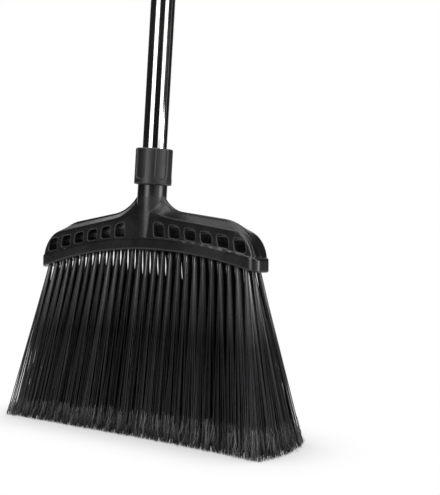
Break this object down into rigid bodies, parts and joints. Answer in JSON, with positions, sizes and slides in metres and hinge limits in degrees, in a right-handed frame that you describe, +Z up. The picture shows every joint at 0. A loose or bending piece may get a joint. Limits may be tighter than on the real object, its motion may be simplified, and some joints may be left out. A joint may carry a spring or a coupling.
{
  "type": "broom",
  "caption": "Upright broom with an arched windowed head, flared flagged bristles, a hand nut at the neck and a slanted pole of screwed steel sections with a hanging loop.",
  "frame": {"origin": "on the floor under the middle of the bristle foot", "axes": "+Z up, +X along the head towards the side that the pole leans to, -Y the front"},
  "size_m": [0.2978, 0.071, 1.3195],
  "materials": {
    "head_plastic": "black moulded plastic, satin, fine moulding texture",
    "bristle": "black drawn filaments with pale grey flagged tips",
    "pole_steel": "polished stainless tube",
    "band_plastic": "black gloss plastic sleeves",
    "grip_plastic": "black plastic grip with a soft shine",
    "seal_rubber": "black rubber ring",
    "staple_steel": "flat steel anchor wire"
  },
  "bodies": {
    "head": {"head_block": "head_plastic", "bristle_row_1": "bristle", "bristle_row_2": "bristle", "bristle_row_3": "bristle", "bristle_row_4": "bristle", "tuft_staples": "staple_steel", "pole_tip": "head_plastic", "tube_1": "pole_steel", "socket_1": "band_plastic"},
    "slip_ring": {"slip_ring": "head_plastic"},
    "collar": {"collar_nut": "head_plastic"},
    "ring_1": {"seal_1": "seal_rubber"},
    "section_2": {"plug_2": "band_plastic", "tube_2": "pole_steel", "socket_2": "band_plastic"},
    "ring_2": {"seal_2": "seal_rubber"},
    "section_3": {"plug_3": "band_plastic", "tube_3": "pole_steel", "socket_3": "band_plastic"},
    "ring_3": {"seal_3": "seal_rubber"},
    "section_4": {"plug_4": "band_plastic", "tube_4": "pole_steel", "hand_grip": "grip_plastic"}
  },
  "joints": [
    {"name": "collar_lift", "type": "slide", "parent": "head", "child": "slip_ring", "axis": [0.0663, 0, 0.9978], "range_m": [0, 0.016]},
    {"name": "collar_turn", "type": "hinge", "parent": "slip_ring", "child": "collar", "pos_m": [0.00787, 0, 0.23334], "axis": [0.0663, 0, 0.9978], "range_deg": [0, 1440]},
    {"name": "section_2_lift", "type": "slide", "parent": "head", "child": "ring_1", "axis": [0.0663, 0, 0.9978], "range_m": [0, 0.015]},
    {"name": "section_2_turn", "type": "hinge", "parent": "ring_1", "child": "section_2", "pos_m": [0.02427, 0, 0.48029], "axis": [0.0663, 0, 0.9978], "range_deg": [0, 1080]},
    {"name": "section_3_lift", "type": "slide", "parent": "section_2", "child": "ring_2", "axis": [0.0663, 0, 0.9978], "range_m": [0, 0.015]},
    {"name": "section_3_turn", "type": "hinge", "parent": "ring_2", "child": "section_3", "pos_m": [0.0423, 0, 0.7517], "axis": [0.0663, 0, 0.9978], "range_deg": [0, 1080]},
    {"name": "section_4_lift", "type": "slide", "parent": "section_3", "child": "ring_3", "axis": [0.0663, 0, 0.9978], "range_m": [0, 0.015]},
    {"name": "section_4_turn", "type": "hinge", "parent": "ring_3", "child": "section_4", "pos_m": [0.06033, 0, 1.0231], "axis": [0.0663, 0, 0.9978], "range_deg": [0, 1080]}
  ],
  "couplings": [
    {"joint": "collar_lift", "follows": "collar_turn", "m_per_rad": 0.00063662},
    {"joint": "section_2_lift", "follows": "section_2_turn", "m_per_rad": 0.00079577},
    {"joint": "section_3_lift", "follows": "section_3_turn", "m_per_rad": 0.00079577},
    {"joint": "section_4_lift", "follows": "section_4_turn", "m_per_rad": 0.00079577}
  ]
}
